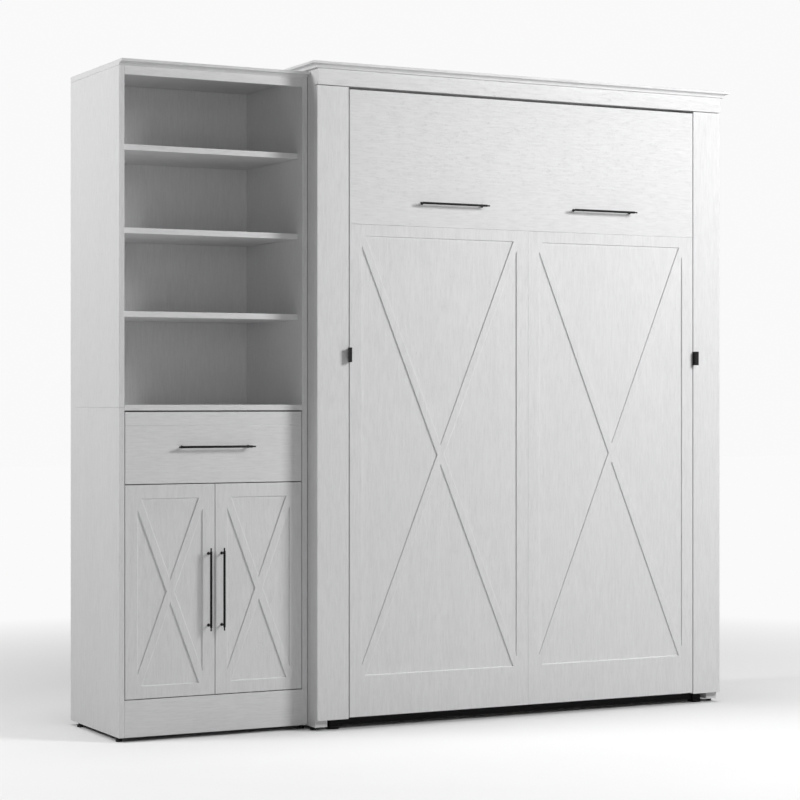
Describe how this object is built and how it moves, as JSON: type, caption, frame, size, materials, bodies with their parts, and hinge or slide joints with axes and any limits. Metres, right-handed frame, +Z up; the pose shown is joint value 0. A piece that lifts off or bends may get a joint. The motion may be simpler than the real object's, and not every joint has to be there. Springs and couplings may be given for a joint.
{
  "type": "murphy wall bed",
  "caption": "Full-size vertical wall bed with crossed panels, crown moulding and bar handles, beside an open-shelved storage tower with a drawer and double doors.",
  "frame": {"origin": "centre of the bounding box in plan, on the floor", "axes": "+X to the right along the wall, +Y towards the wall, +Z up; the front faces -Y"},
  "size_m": [2.363, 0.582, 2.266],
  "materials": {
    "white_board": "white melamine with an embossed wood grain",
    "black_steel": "black powder coat",
    "dark_steel": "charcoal powder coat",
    "bright_steel": "bright steel",
    "birch": "clear satin on birch",
    "black_plastic": "moulded black",
    "ticking": "quilted woven ticking"
  },
  "bodies": {
    "cabinets": {"bed_side_left": "white_board", "bed_side_right": "white_board", "stile_left": "white_board", "stile_right": "white_board", "frieze_board": "white_board", "crown": "white_board", "back_rail_top": "white_board", "headboard": "white_board", "back_rail_low": "white_board", "steel_base": "black_steel", "spring_bracket_left": "dark_steel", "spring_bracket_right": "dark_steel", "latch_block_left": "black_plastic", "latch_block_right": "black_plastic", "bed_foot_front_left": "black_plastic", "bed_foot_front_right": "black_plastic", "bed_foot_rear_left": "black_plastic", "bed_foot_rear_right": "black_plastic", "tower_side_low_left": "white_board", "tower_side_low_right": "white_board", "tower_side_high_left": "white_board", "tower_side_high_right": "white_board", "tower_top": "white_board", "tower_top_rail": "white_board", "tower_back": "white_board", "tower_fixed_shelf": "white_board", "tower_plinth": "white_board", "tower_floor": "white_board", "tower_shelf_1": "white_board", "tower_shelf_2": "white_board", "tower_shelf_3": "white_board", "tower_foot_front_left": "black_plastic", "tower_foot_front_right": "black_plastic", "tower_foot_rear_left": "black_plastic", "tower_foot_rear_right": "black_plastic", "drawer_runner_left": "bright_steel", "drawer_runner_right": "bright_steel"},
    "bed": {"panel_top": "white_board", "panel_low_left": "white_board", "panel_low_right": "white_board", "bed_handle_left": "black_steel", "bed_handle_right": "black_steel", "bed_frame": "dark_steel", "slat_deck": "birch", "mattress": "ticking"},
    "folding_leg": {"leg_bar": "black_steel"},
    "cylinder_left": {"gas_cylinder_left": "black_steel"},
    "cylinder_right": {"gas_cylinder_right": "black_steel"},
    "rod_left": {"gas_rod_left": "bright_steel"},
    "rod_right": {"gas_rod_right": "bright_steel"},
    "catch_left": {"latch_left": "black_steel"},
    "catch_right": {"latch_right": "black_steel"},
    "cupboard_door_left": {"door_left": "white_board", "door_handle_left": "black_steel"},
    "cupboard_door_right": {"door_right": "white_board", "door_handle_right": "black_steel"},
    "drawer": {"drawer_front": "white_board", "drawer_box": "birch", "drawer_handle": "black_steel"}
  },
  "joints": [
    {"name": "bed_turn", "type": "hinge", "parent": "cabinets", "child": "bed", "pos_m": [0.3275, -0.203, 0.3], "axis": [1, 0, 0], "range_deg": [0, 90]},
    {"name": "leg_turn", "type": "hinge", "parent": "bed", "child": "folding_leg", "pos_m": [0.3275, -0.223, 2.14], "axis": [1, 0, 0], "range_deg": [0, 190.01]},
    {"name": "spring_turn_left", "type": "hinge", "parent": "cabinets", "child": "cylinder_left", "pos_m": [-0.418, 0.137, 0.9], "axis": [1, 0, 0], "range_deg": [0, 8.63]},
    {"name": "spring_turn_right", "type": "hinge", "parent": "cabinets", "child": "cylinder_right", "pos_m": [1.073, 0.137, 0.9], "axis": [1, 0, 0], "range_deg": [0, 8.63]},
    {"name": "spring_stroke_left", "type": "slide", "parent": "cylinder_left", "child": "rod_left", "axis": [0, -0.3996, -0.9167], "range_m": [-0.23, 0]},
    {"name": "spring_stroke_right", "type": "slide", "parent": "cylinder_right", "child": "rod_right", "axis": [0, -0.3996, -0.9167], "range_m": [-0.23, 0]},
    {"name": "latch_lift_left", "type": "slide", "parent": "cabinets", "child": "catch_left", "axis": [0, 0, 1], "range_m": [0, 0.015]},
    {"name": "latch_lift_right", "type": "slide", "parent": "cabinets", "child": "catch_right", "axis": [0, 0, 1], "range_m": [0, 0.015]},
    {"name": "door_turn_left", "type": "hinge", "parent": "cabinets", "child": "cupboard_door_left", "pos_m": [-1.16115, -0.186, 0.49], "axis": [0, 0, -1], "range_deg": [0, 100]},
    {"name": "door_turn_right", "type": "hinge", "parent": "cabinets", "child": "cupboard_door_right", "pos_m": [-0.52225, -0.186, 0.49], "axis": [0, 0, 1], "range_deg": [0, 100]},
    {"name": "drawer_slide", "type": "slide", "parent": "cabinets", "child": "drawer", "axis": [0, -1, 0], "range_m": [0, 0.35]}
  ],
  "couplings": [
    {"joint": "leg_turn", "follows": "bed_turn", "ratio": 2.1111},
    {"joint": "spring_turn_left", "follows": "bed_turn", "ratio": 0.095787},
    {"joint": "spring_turn_right", "follows": "bed_turn", "ratio": 0.095787},
    {"joint": "spring_stroke_left", "follows": "bed_turn", "m_per_rad": -0.14637},
    {"joint": "spring_stroke_right", "follows": "bed_turn", "m_per_rad": -0.14637}
  ]
}
